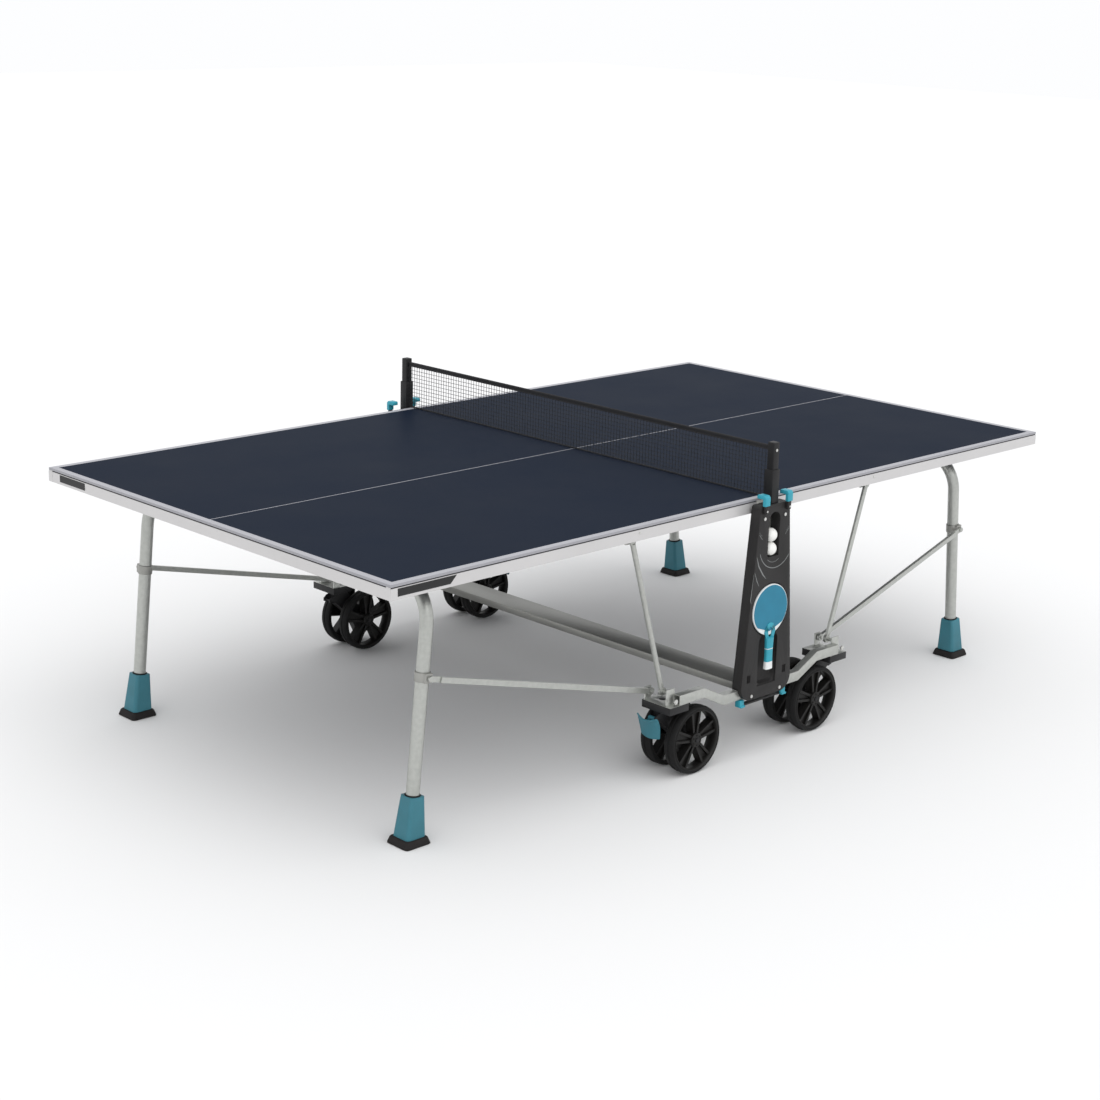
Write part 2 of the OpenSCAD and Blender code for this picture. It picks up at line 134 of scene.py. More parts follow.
# %% A builder for finishes
def finish(name, colour, rough, metal=0.0, mottle=0.06, mottle_scale=9, grain=0.1, grain_scale=900,
           stretch=(1, 1, 1), coat=0.0, spread=0.06, gloss=0.5):
    """A material: `colour` mottled at one scale, with a fine grain in its bump and roughness."""
    m = bpy.data.materials.new(name)
    m.use_nodes = True
    t = m.node_tree
    shader = t.nodes["Principled BSDF"]
    shader.inputs["Metallic"].default_value = metal
    shader.inputs["Specular IOR Level"].default_value = gloss
    if coat:
        shader.inputs["Coat Weight"].default_value = coat
        shader.inputs["Coat Roughness"].default_value = 0.2
    place = t.nodes.new("ShaderNodeTexCoord")
    scale = t.nodes.new("ShaderNodeMapping")
    scale.inputs["Scale"].default_value = stretch
    t.links.new(place.outputs["Object"], scale.inputs["Vector"])

    cloud = t.nodes.new("ShaderNodeTexNoise")
    cloud.inputs["Scale"].default_value = mottle_scale
    cloud.inputs["Detail"].default_value = 4
    t.links.new(scale.outputs["Vector"], cloud.inputs["Vector"])
    tint = t.nodes.new("ShaderNodeValToRGB")
    for stop, k in zip(tint.color_ramp.elements, (1 - mottle, 1 + mottle)):
        stop.color = (*(min(1, c * k) for c in colour), 1)
    tint.color_ramp.elements[0].position, tint.color_ramp.elements[1].position = 0.3, 0.7
    t.links.new(cloud.outputs["Fac"], tint.inputs["Fac"])
    t.links.new(tint.outputs["Color"], shader.inputs["Base Color"])

    fine = t.nodes.new("ShaderNodeTexNoise")
    fine.inputs["Scale"].default_value = grain_scale
    fine.inputs["Detail"].default_value = 3
    t.links.new(scale.outputs["Vector"], fine.inputs["Vector"])
    span = t.nodes.new("ShaderNodeMapRange")
    span.inputs["To Min"].default_value = max(0.02, rough - spread)
    span.inputs["To Max"].default_value = min(1.0, rough + spread)
    t.links.new(cloud.outputs["Fac"], span.inputs["Value"])
    t.links.new(span.outputs["Result"], shader.inputs["Roughness"])
    bump = t.nodes.new("ShaderNodeBump")
    bump.inputs["Strength"].default_value = grain
    bump.inputs["Distance"].default_value = 0.0004
    t.links.new(fine.outputs["Fac"], bump.inputs["Height"])
    t.links.new(bump.outputs["Normal"], shader.inputs["Normal"])
    return m


# %% [markdown]
# The board is a hard resin laminate: dark slate blue, satin, with a faint orange-peel surface. The
# aprons are powder-coated steel, pale grey. The tubes are galvanised. A galvanised tube shows a
# spangle of zinc crystals and streaks from drawing, so its mottle is stretched along the tube.

# %% Metals and laminate
laminate = finish("laminate", (0.0095, 0.0150, 0.0285), 0.5, mottle=0.035, mottle_scale=4, grain=0.06,
                  grain_scale=1400, gloss=0.012)
line_paint = finish("line_paint", (0.36, 0.36, 0.39), 0.5, mottle=0.03, grain=0.15, grain_scale=700)
apron_coat = finish("apron_coat", (0.56, 0.55, 0.55), 0.34, metal=0.25, mottle=0.03, mottle_scale=5,
                    grain=0.2, grain_scale=1100)
galvanised = finish("galvanised", (0.45, 0.46, 0.435), 0.34, metal=0.75, mottle=0.07, mottle_scale=90,
                    grain=0.25, grain_scale=500, spread=0.10)
beam_zinc = finish("beam_zinc", (0.33, 0.33, 0.31), 0.42, metal=0.7, mottle=0.09, mottle_scale=30,
                   grain=0.25, grain_scale=500, stretch=(1, 0.2, 1), spread=0.10)
bright_bolt = finish("bright_bolt", (0.62, 0.62, 0.60), 0.28, metal=0.95, mottle=0.05, mottle_scale=200)
black_coat = finish("black_coat", (0.012, 0.012, 0.013), 0.45, gloss=0.35, mottle=0.15,
                    mottle_scale=40, grain=0.3)

# %% [markdown]
# The plastics are moulded. A spark-eroded mould leaves a fine grain, so they scatter light more
# than they mirror it. The teal of the feet is deeper than that of the clips.

# %% Plastics, rubber and net
black_plastic = finish("black_plastic", (0.010, 0.010, 0.011), 0.5, gloss=0.3, mottle=0.2,
                       mottle_scale=30, grain=0.5)
pod_plastic = finish("pod_plastic", (0.020, 0.019, 0.019), 0.5, mottle=0.12, mottle_scale=14, grain=0.6,
                     grain_scale=1300, gloss=0.25)
pod_accent = finish("pod_accent", (0.19, 0.20, 0.20), 0.45, mottle=0.05, grain=0.3)
teal_plastic = finish("teal_plastic", (0.040, 0.170, 0.215), 0.45, gloss=0.3, mottle=0.07,
                      mottle_scale=22, grain=0.4)
clip_plastic = finish("clip_plastic", (0.035, 0.310, 0.400), 0.4, gloss=0.3, mottle=0.05,
                      mottle_scale=40, grain=0.25)
pad_rubber = finish("pad_rubber", (0.014, 0.012, 0.012), 0.75, gloss=0.25, mottle=0.2,
                    mottle_scale=60, grain=0.8,
                    grain_scale=600)
wheel_plastic = finish("wheel_plastic", (0.008, 0.0075, 0.007), 0.42, gloss=0.25, mottle=0.2,
                       mottle_scale=30, grain=0.4)
tread_rubber = finish("tread_rubber", (0.009, 0.009, 0.009), 0.7, gloss=0.2, mottle=0.2,
                      mottle_scale=50, grain=0.8)
net_yarn = finish("net_yarn", (0.012, 0.013, 0.016), 0.85, mottle=0.3, mottle_scale=300, grain=0.8)
tape_weave = finish("tape_weave", (0.016, 0.016, 0.018), 0.85, mottle=0.3, mottle_scale=500, grain=0.9,
                    stretch=(1, 4, 1))
ball_shell = finish("ball_shell", (0.80, 0.80, 0.77), 0.5, mottle=0.02, mottle_scale=60, grain=0.1)
bat_face = finish("bat_face", (0.030, 0.190, 0.290), 0.6, gloss=0.2, mottle=0.05, mottle_scale=30, grain=0.6,
                  grain_scale=700)
bat_white = finish("bat_white", (0.72, 0.74, 0.74), 0.4, mottle=0.03, mottle_scale=40)

# %% [markdown]
# The frame's own parts take their finish by name. A rule on the start of each name is enough,
# because the parts are named for what they are.

# %% Dress the frame
BY_NAME = {
    "board": laminate, "lines": line_paint, "aprons": apron_coat, "rails": galvanised,
    "bearings": black_plastic, "badge": black_coat, "leg_clamps": black_coat, "leg": galvanised,
    "cone": teal_plastic, "pad": pad_rubber, "stays": galvanised, "ties": galvanised,
    "bow": galvanised, "centre": beam_zinc, "caster": black_coat, "upright": galvanised,
    "pod_screws": bright_bolt, "pod": pod_plastic, "clip": clip_plastic, "catch": clip_plastic,
    "fork": black_plastic, "wheels": wheel_plastic, "brake": teal_plastic, "net_sleeves": black_plastic,
    "net_posts": black_plastic, "net_mesh": net_yarn, "net_tapes": tape_weave, "balls": ball_shell,
    "bat_blade": bat_face, "bat_handle": bat_white,
}
for name, obj in nodes.items():
    key = max((k for k in BY_NAME if name.startswith(k)), key=len)
    obj.data.materials.clear()
    obj.data.materials.append(BY_NAME[key])

# %% [markdown]
# ## Tools for new pieces
# Three helpers serve all the pieces below. The first turns a mesh in hand into an object. The
# second spins an outline about an axle, which is how a wheel is turned on a lathe. The third
# applies a Geometry Nodes tree and keeps the plain mesh that comes out.

# %% Mesh helpers
def piece(name, bm, material, body, stands_for=(), smooth=40):
    """Makes an object from a bmesh, with its normals outward, and rides it on a body."""
    bmesh.ops.remove_doubles(bm, verts=bm.verts, dist=1e-6)
    bmesh.ops.recalc_face_normals(bm, faces=bm.faces)
    mesh = bpy.data.meshes.new(name)
    bm.to_mesh(mesh)
    bm.free()
    return dress(name, mesh, material, body, stands_for, smooth)


def dress(name, mesh, material, body, stands_for=(), smooth=40):
    """Makes an object from a mesh in one material, and rides it on a body in place of CAD nodes."""
    mesh.materials.clear()
    mesh.materials.append(material)
    mesh.shade_smooth()
    mesh.set_sharp_from_angle(angle=math.radians(smooth))
    obj = bpy.data.objects.new(name, mesh)
    bpy.context.collection.objects.link(obj)
    if stands_for:
        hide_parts(*stands_for)
    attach(obj, body)
    return obj


def lathe(bm, outline, centre, turns=72):
    """Spins a closed outline of (radius, y) points about the Y axis through `centre`."""
    rings = []
    for i in range(turns):
        a = 2 * math.pi * i / turns
        rings.append([bm.verts.new((centre[0] + r * math.cos(a), centre[1] + y, centre[2] + r * math.sin(a)))
                      for r, y in outline])
    n = len(outline)
    for i in range(turns):
        for j in range(n):
            a, b = rings[i], rings[(i + 1) % turns]
            bm.faces.new((a[j], a[(j + 1) % n], b[(j + 1) % n], b[j]))


def slab(bm, outline, y0, y1):
    """A flat plate with an outline of (x, z) points, from y0 to y1."""
    near = [bm.verts.new((x, y0, z)) for x, z in outline]
    far = [bm.verts.new((x, y1, z)) for x, z in outline]
    bm.faces.new(near)
    bm.faces.new(far[::-1])
    for i in range(len(outline)):
        j = (i + 1) % len(outline)
        bm.faces.new((near[i], near[j], far[j], far[i]))


def box(bm, low, high):
    """A box between two corners."""
    slab(bm, [(low[0], low[2]), (high[0], low[2]), (high[0], high[2]), (low[0], high[2])], low[1], high[1])


def ring_points(radius, count, centre=(0, 0), start=0.0, sweep=360.0):
    """Points on an arc, as (x, z)."""
    closed = sweep >= 360
    steps = count if closed else count - 1
    return [(centre[0] + radius * math.cos(math.radians(start + sweep * i / steps)),
             centre[1] + radius * math.sin(math.radians(start + sweep * i / steps))) for i in range(count)]


# %% [markdown]
# Geometry Nodes repeat a shape by a rule. Each tree here has named inputs. An input is set by its
# identifier, and the result is baked to a plain mesh at once, so nothing live is left behind.

# %% Geometry Nodes helpers
class Tree:
    """A Geometry Nodes tree under construction, with named inputs."""

    def __init__(self, name):
        self.tree = bpy.data.node_groups.new(name, "GeometryNodeTree")
        face = self.tree.interface
        face.new_socket("Geometry", in_out="OUTPUT", socket_type="NodeSocketGeometry")
        face.new_socket("Geometry", in_out="INPUT", socket_type="NodeSocketGeometry")
        self.ids = {}
        self.inn = self.tree.nodes.new("NodeGroupInput")
        self.out = self.tree.nodes.new("NodeGroupOutput")

    def input(self, name, kind, default):
        socket = self.tree.interface.new_socket(name, in_out="INPUT", socket_type="NodeSocket" + kind)
        socket.default_value = default
        self.ids[name] = socket.identifier
        return self.inn.outputs[name]

    def node(self, kind, **inputs):
        """Adds a node; each keyword is a socket's name with _ for a space, and a link or a value."""
        n = self.tree.nodes.new(kind)
        for key, value in inputs.items():
            self.put(n.inputs[key.replace("_", " ")], value)
        return n

    def put(self, socket, value):
        if isinstance(value, bpy.types.NodeSocket):
            self.tree.links.new(value, socket)
        else:
            socket.default_value = value

    def math(self, op, a, b):
        n = self.tree.nodes.new("ShaderNodeMath")
        n.operation = op
        self.put(n.inputs[0], a)
        self.put(n.inputs[1], b)
        return n.outputs[0]

    def vector(self, x=0.0, y=0.0, z=0.0):
        return self.node("ShaderNodeCombineXYZ", X=x, Y=y, Z=z).outputs[0]

    def close(self, geometry, material):
        solid = self.node("GeometryNodeRealizeInstances", Geometry=geometry)
        tinted = self.node("GeometryNodeSetMaterial", Geometry=solid.outputs[0], Material=material)
        self.tree.links.new(tinted.outputs[0], self.out.inputs[0])


def grow(name, tree, seed_mesh=None, **values):
    """Runs a tree on a seed mesh and returns the plain mesh that it makes."""
    seed = bpy.data.objects.new(name + "_seed", seed_mesh or bpy.data.meshes.new(name + "_seed"))
    bpy.context.collection.objects.link(seed)
    mod = seed.modifiers.new("grow", "NODES")
    mod.node_group = tree.tree
    for key, value in values.items():
        mod[tree.ids[key]] = value
    held = seed.evaluated_get(bpy.context.evaluated_depsgraph_get())
    mesh = bpy.data.meshes.new_from_object(held)
    bpy.data.objects.remove(seed)
    print(f"{name}: {len(mesh.polygons)} faces")
    return mesh


# %% [markdown]
# ## The wheels
# A trolley wheel is one moulding: a rim with a soft tread, a hub, and five spokes, each a pair of
# ribs that part towards the rim. The rim and hub are turned on the lathe. One spoke is modelled,
# and a tree turns copies of it about the axle.

# %% Spokes round an axle
spin = Tree("round_an_axle")
spin_count = spin.input("Count", "Int", 5)
spin_material = spin.input("Material", "Material", None)
spots = spin.node("GeometryNodeMeshLine", Count=spin_count, Offset=(0.0, 0.0, 0.0))
index = spin.node("GeometryNodeInputIndex").outputs[0]
turn = spin.math("DIVIDE", spin.math("MULTIPLY", index, 2 * math.pi), spin_count)
copies = spin.node("GeometryNodeInstanceOnPoints", Points=spots.outputs[0],
                   Instance=spin.inn.outputs["Geometry"], Rotation=spin.vector(y=turn))
spin.close(copies.outputs[0], spin_material)

TREAD, RIM_IN, HUB = 0.013, 0.084, 0.021
HUB_SCREWS, SCREWS_AT = 6, 0.0145      # screws in a ring round the hub


def spoke_pair(width):
    """Two ribs that run from the hub and part towards the rim, with a thin web between them."""
    bm = bmesh.new()
    half = width / 2 - 0.006
    for s in (-1, 1):
        inner, outer = s * 0.0060, s * 0.0165
        slab(bm, [(inner - 0.0035, 0.016), (inner + 0.0035, 0.016), (outer + 0.0038, RIM_IN + 0.001),
                  (outer - 0.0038, RIM_IN + 0.001)], -half, half)
    slab(bm, [(-0.008, 0.016), (0.008, 0.016), (0.0160, RIM_IN - 0.006), (0.0250, RIM_IN + 0.001),
              (-0.0250, RIM_IN + 0.001), (-0.0160, RIM_IN - 0.006)], -half * 0.45, half * 0.45)
    mesh = bpy.data.meshes.new("spoke_pair")
    bm.to_mesh(mesh)
    bm.free()
    return mesh


def wheel_parts(centre, radius, width):
    """The tread and the moulding of one wheel, as two bmeshes."""
    w, e = width / 2, 0.004
    tread, body = bmesh.new(), bmesh.new()
    groove = 0.0018
    face = [(radius, -w * 0.36), (radius, -w * 0.16), (radius - groove, -w * 0.11),
            (radius - groove, w * 0.11), (radius, w * 0.16), (radius, w * 0.36)]
    lathe(tread, [(radius - TREAD, -w + 0.001), (radius - e, -w + 0.001),
                  (radius - e * 0.35, -w * 0.8), *face, (radius - e * 0.35, w * 0.8),
                  (radius - e, w - 0.001), (radius - TREAD, w - 0.001)], centre)
    lathe(body, [(RIM_IN, -w * 0.86), (RIM_IN + 0.002, -w), (radius - TREAD + 0.0015, -w),
                 (radius - TREAD + 0.0015, w), (RIM_IN + 0.002, w), (RIM_IN, w * 0.86),
                 (RIM_IN - 0.002, w * 0.3), (RIM_IN - 0.002, -w * 0.3)], centre)
    lathe(body, [(0.007, -w), (HUB - 0.003, -w), (HUB, -w * 0.88), (HUB, w * 0.88), (HUB - 0.003, w),
                 (0.007, w)], centre)
    for k in range(HUB_SCREWS):
        a = math.radians(360 / HUB_SCREWS * k + 30)
        at = (centre[0] + SCREWS_AT * math.cos(a), centre[1], centre[2] + SCREWS_AT * math.sin(a))
        lathe(body, [(0.0012, -w - 0.0012), (0.0026, -w - 0.0012), (0.0026, w + 0.0012),
                     (0.0012, w + 0.0012)], at, turns=12)
    return tread, body


def twin_wheels(node, wheel_width=0.038):
    """Replaces a CAD pair of wheels with a pair that has tread, ribs and hub bosses."""
    low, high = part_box(node)
    centre = (Vector(low) + Vector(high)) / 2
    radius = (high[2] - low[2]) / 2
    apart = (high[1] - low[1]) - wheel_width
    spokes = grow(node + "_spokes", spin, spoke_pair(wheel_width), Count=5, Material=wheel_plastic)
    tread, body = bmesh.new(), bmesh.new()
    for s in (-1, 1):
        at = centre + Vector((0, s * apart / 2, 0))
        t, b = wheel_parts(at, radius, wheel_width)
        copy = spokes.copy()
        copy.transform(Matrix.Translation(at))
        b.from_mesh(copy)
        for whole, part in ((tread, t), (body, b)):
            held = bpy.data.meshes.new("part")
            part.to_mesh(held)
            part.free()
            whole.from_mesh(held)
    piece(node + "_tread", tread, tread_rubber, node)
    piece(node + "_moulding", body, wheel_plastic, node, stands_for=(node,), smooth=30)


for end in ("left", "right"):
    for side in ("near", "far"):
        twin_wheels(f"wheels_{side}_{end}")

# %% [markdown]
# ## The net
# The net is a square mesh of black yarn between two posts. A sheet with holes painted on it would
# look flat from the side, so every strand is a thin rod. Two rows of rods, one upright and one
# level, cross each other. The cell is 12 mm and the cord 1.6 mm. The tree takes them as inputs.

# %% Strands in two directions
weave = Tree("square_net")
w_length = weave.input("Length", "Float", 1.5)
w_height = weave.input("Height", "Float", 0.13)
w_cell = weave.input("Cell", "Float", 0.012)
w_strand = weave.input("Strand", "Float", 0.0008)
w_base = weave.input("Base", "Float", 0.764)
w_material = weave.input("Material", "Material", None)


def strands(span, run, along_y):
    """Rods `run` long, spread over `span` by the cell size."""
    count = weave.math("FLOOR", weave.math("DIVIDE", span, w_cell), 0.0)
    step = weave.math("DIVIDE", span, count)
    rod = weave.node("GeometryNodeMeshCylinder", Vertices=5, Radius=w_strand, Depth=run)
    if along_y:
        start = weave.vector(y=weave.math("MULTIPLY", span, -0.5),
                             z=weave.math("ADD", w_base, weave.math("MULTIPLY", run, 0.5)))
        offset, tilt = weave.vector(y=step), (0.0, 0.0, 0.0)
    else:
        start, offset, tilt = weave.vector(z=w_base), weave.vector(z=step), (math.pi / 2, 0.0, 0.0)
    line = weave.node("GeometryNodeMeshLine", Count=weave.math("ADD", count, 1.0), Start_Location=start,
                      Offset=offset)
    return weave.node("GeometryNodeInstanceOnPoints", Points=line.outputs[0], Instance=rod.outputs[0],
                      Rotation=tilt).outputs[0]


both = weave.node("GeometryNodeJoinGeometry")
for group in (strands(w_length, w_height, True), strands(w_height, w_length, False)):
    weave.tree.links.new(group, both.inputs[0])
weave.close(both.outputs[0], w_material)

low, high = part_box("net_mesh")
net_mesh = grow("net_strands", weave, Length=high[1] - low[1], Height=high[2] - low[2], Base=low[2],
                Material=net_yarn)
net = dress("net_strands", net_mesh, net_yarn, "net", stands_for=("net_mesh",), smooth=80)

# %% [markdown]
# ## Board edges
# The board's cut edge is sealed with a pale band. The strip below it sits back, and a thin dark band of
# painted shade stands for the shadow in that groove. Both are thin bands that run round three sides of each
# half.

# %% Edge bands and painted groove shade
# A dark finish of painted shade, for the shadow in the groove under the board's edge.
seal_rubber = finish("seal_rubber", (0.035, 0.034, 0.036), 0.7, mottle=0.1, mottle_scale=60, gloss=0.2)
edge_band = finish("edge_band", (0.30, 0.30, 0.325), 0.45, mottle=0.04, mottle_scale=40, grain=0.2)


def band(name, end, node_low, node_high, z0, z1, thick, material):
    """A band round the end and the two long sides of a half."""
    s = -1 if end == "left" else 1
    out = max(abs(node_low[0]), abs(node_high[0]))
    inner = min(abs(node_low[0]), abs(node_high[0]))
    y = node_high[1]
    bm = bmesh.new()
    for n in (-1, 1):
        ys = sorted((n * y, n * (y + thick)))
        xs = sorted((s * inner, s * (out + thick)))
        box(bm, (xs[0], ys[0], z0), (xs[1], ys[1], z1))
    xs = sorted((s * out, s * (out + thick)))
    box(bm, (xs[0], -y, z0), (xs[1], y, z1))
    return piece(name, bm, material, f"half_{end}", smooth=30)


for end in ("left", "right"):
    low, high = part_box(f"board_{end}")
    band(f"edge_band_{end}", end, low, high, low[2] + 0.0003, high[2] - 0.0002, 0.0004, edge_band)
    a_low, a_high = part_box(f"aprons_{end}")
    inset = 0.0018
    # The dark band under the edge is painted shade: it stands for the shadow in the set-back groove.
    band(f"seal_{end}", end, (a_low[0] + (inset if end == "left" else 0), a_low[1] + inset, 0),
         (a_high[0] - (inset if end == "right" else 0), a_high[1] - inset, 0),
         low[2] - 0.0029, low[2] - 0.0002, 0.0004, seal_rubber)

# %% [markdown]
# A pressed cap closes the end of each long apron, so the corner shows one fine seam and no hole.

# %% Corner caps
for end, s in (("left", -1), ("right", 1)):
    low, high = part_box(f"aprons_{end}")
    out = max(abs(low[0]), abs(high[0]))
    bm = bmesh.new()
    for n in (-1, 1):
        ys = sorted((n * (high[1] - 0.0199), n * (high[1] - 0.0002)))
        xs = sorted((s * out, s * (out + 0.0005)))
        box(bm, (xs[0], ys[0], low[2] + 0.0002), (xs[1], ys[1], low[2] + 0.0298))
    piece(f"corner_caps_{end}", bm, apron_coat, f"half_{end}", smooth=30)

# %% [markdown]
# ## Bolts and rivets
# Bolts hold the frame together where tubes meet. They all lie across the table, so one tree can set a
# washer and a six-sided head at every point of a seed mesh. The seed's points come from the frame.

# %% Bolts at points
bolt = Tree("bolts_across")
b_radius = bolt.input("Radius", "Float", 0.006)
b_depth = bolt.input("Depth", "Float", 0.004)
b_material = bolt.input("Material", "Material", None)
washer = bolt.node("GeometryNodeMeshCylinder", Vertices=20, Radius=b_radius,
                   Depth=bolt.math("MULTIPLY", b_depth, 0.45))
head = bolt.node("GeometryNodeMeshCylinder", Vertices=6, Radius=bolt.math("MULTIPLY", b_radius, 0.7),
                 Depth=b_depth)
stack = bolt.node("GeometryNodeJoinGeometry")
for g in (washer, head):
    bolt.tree.links.new(g.outputs[0], stack.inputs[0])
put = bolt.node("GeometryNodeInstanceOnPoints", Points=bolt.inn.outputs["Geometry"],
                Instance=stack.outputs[0], Rotation=(math.pi / 2, 0.0, 0.0))
bolt.close(put.outputs[0], b_material)


def bolts(name, places, body, radius=0.006, depth=0.004, material=bright_bolt):
    seed = bpy.data.meshes.new(name + "_seed")
    seed.from_pydata([tuple(p) for p in places], [], [])
    mesh = grow(name, bolt, seed, Radius=radius, Depth=depth, Material=material)
    return dress(name, mesh, material, body, smooth=30)


def both_sides(x, y, z):
    return [(x, -y, z), (x, y, z)]


joints = {j["name"]: j for j in frame["joints"]}
for end, s in (("left", -1), ("right", 1)):
    stay_pin = joints[f"half_{end}_fold"]["pos_m"]
    trolley_pin = joints[f"stays_{end}_swing"]["pos_m"]
    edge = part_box(f"aprons_{end}")[1][1]
    bolts(f"apron_rivets_{end}", both_sides(stay_pin[0], edge, 0.741), f"half_{end}", 0.004, 0.003)
    bolts(f"trolley_bolts_{end}", both_sides(trolley_pin[0] + s * 0.004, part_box("bow_far")[1][1], 0.240),
          "trolley", 0.0075, 0.006)
print("bolts set")

# %% [markdown]
# ## Soft edges
# No moulded or cast part has a knife edge. The frame's solids do, because a design model keeps its
# edges sharp. A Bevel modifier rounds them, but it needs whole faces and not loose triangles. So a
# copy of the node is welded, flat triangles are merged into single faces, and then it is bevelled.

# %% A bevelled copy of a node
BODY_OF = {n: b for b, held in frame["record"]["behaviour"]["bodies"].items() for n in held}


def softened(node, material, width=0.0015, segments=2, cut=None, steps=35):
    """Stands for a CAD node with a copy whose edges are rounded; `cut` may change its mesh first."""
    bm = bmesh.new()
    bm.from_mesh(nodes[node].data)
    bmesh.ops.remove_doubles(bm, verts=bm.verts, dist=2e-6)
    bmesh.ops.dissolve_limit(bm, angle_limit=math.radians(0.5), verts=bm.verts, edges=bm.edges)
    bmesh.ops.recalc_face_normals(bm, faces=bm.faces)
    mesh = bpy.data.meshes.new(node + "_soft")
    bm.to_mesh(mesh)
    bm.free()
    mesh.materials.clear()
    seed = bpy.data.objects.new(node + "_seed", mesh)
    bpy.context.collection.objects.link(seed)
    for cutter in cut or ():
        bpy.context.collection.objects.link(cutter)
        knife = seed.modifiers.new("cut", "BOOLEAN")
        knife.operation, knife.solver, knife.object = "DIFFERENCE", "EXACT", cutter
    rounder = seed.modifiers.new("round", "BEVEL")
    rounder.width, rounder.segments = width, segments
    rounder.limit_method, rounder.angle_limit = "ANGLE", math.radians(steps)
    rounder.use_clamp_overlap = True
    done = bpy.data.meshes.new_from_object(seed.evaluated_get(bpy.context.evaluated_depsgraph_get()))
    bpy.data.objects.remove(seed)
    for cutter in cut or ():
        bpy.data.objects.remove(cutter)
    return dress(node + "_soft", done, material, BODY_OF[node], stands_for=(node,), smooth=42)


def second_finish(obj, material, where):
    """Gives a second finish to the faces whose middle passes a test."""
    obj.data.materials.append(material)
    for face in obj.data.polygons:
        if where(face.center):
            face.material_index = 1
    return obj


for side in ("near", "far"):
    for end in ("left", "right"):
        softened(f"cone_{side}_{end}", teal_plastic, 0.003, 3)
        softened(f"pad_{side}_{end}", pad_rubber, 0.004, 3)
        softened(f"fork_{side}_{end}", black_plastic, 0.0015)
    softened(f"bow_{side}", galvanised, 0.003, 3)
for end in ("left", "right"):
    softened(f"leg_clamps_{end}", beam_zinc, 0.0015)
softened("net_sleeves", black_plastic, 0.0015)
softened("net_posts", black_plastic, 0.0025, 3)
BOW_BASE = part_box("bow_near")[1][2] - 0.030
second_finish(softened("caster_sockets", galvanised, 0.0015), black_coat, lambda p: p.z < BOW_BASE)
softened("centre_beam", beam_zinc, 0.002)
print("edges rounded")

# %% [markdown]
# A dark ring of painted shade sits round the leg on top of each levelling cone, for the shadow in the
# cone's opening. It is a small torus section, spun about Y and then tipped to lie square to the leaning leg.

# %% Rings of painted shade
def ring_on_leg(foot):
    """A dark ring of painted shade round the leg, on top of a foot's cone."""
    low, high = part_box(f"pad_{foot}")
    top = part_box(f"cone_{foot}")[1][2]
    lean = Vector(joints[f"foot_{foot}_level"]["axis"]).normalized()
    lean *= 1 if lean.z > 0 else -1
    base = Vector(((low[0] + high[0]) / 2, (low[1] + high[1]) / 2, 0))
    at = base + lean * ((top - 0.0015) / lean.z)
    bm = bmesh.new()
    lathe(bm, [(0.0184, -0.0015), (0.0205, -0.0015), (0.0215, 0.0005), (0.0205, 0.0022),
               (0.0190, 0.0026)], (0, 0, 0), turns=48)
    turn = Vector((0, 1, 0)).rotation_difference(lean).to_matrix()
    for v in bm.verts:
        v.co = turn @ v.co + at
    # Painted shade: the ring's dark rubber finish stands for the shadow in the cone's opening.
    return piece(f"painted_shade_ring_{foot}", bm, pad_rubber, f"foot_{foot}", smooth=50)


for foot in ("near_left", "near_right", "far_left", "far_right"):
    ring_on_leg(foot)
post_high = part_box("net_posts")[1]
bolts("post_screws", both_sides(0, post_high[1] + 0.0004, post_high[2] - 0.022), "net", 0.0042, 0.003)
print("rings and screws set")

# %% [markdown]
# ## The storage pods
# Each pod is a deep plastic moulding with a slot for balls, a round pocket for the bat, a long
# recess for its handle, and a hand-hold at the foot. The frame's pod has the openings. Here the
# recess gets its real depth, the vents are cut, and every edge is rounded.

# %% The pods
pod_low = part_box("pod_near")[0]
FRONT = -pod_low[1]


def cutter(points, y0, y1):
    """A prism to cut with, from an outline of (x, z) points."""
    bm = bmesh.new()
    slab(bm, points, y0, y1)
    bmesh.ops.recalc_face_normals(bm, faces=bm.faces)
    mesh = bpy.data.meshes.new("cutter")
    bm.to_mesh(mesh)
    bm.free()
    return bpy.data.objects.new("cutter", mesh)


def rounded_bar(x, z0, z1, half, count=8):
    """The outline of an upright bar with round corners."""
    r = min(half, 0.022)
    corners = [((x + half - r, z1 - r), 0), ((x - half + r, z1 - r), 90), ((x - half + r, z0 + r), 180),
               ((x + half - r, z0 + r), 270)]
    return [p for centre, start in corners for p in ring_points(r, count, centre, start, 90)]


BOW_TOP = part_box("centre_beam")[1][2] + 0.004


def recess_outline(inset=0.0):
    """The handle's recess and the hand-hold below it, as one rounded outline."""
    return rounded_bar(0, BOW_TOP + 0.0045 + inset, 0.366 - inset, 0.041 - inset, 7)


def depth_through(n):
    return sorted((n * (FRONT + 0.002), n * (FRONT - 0.0095)))


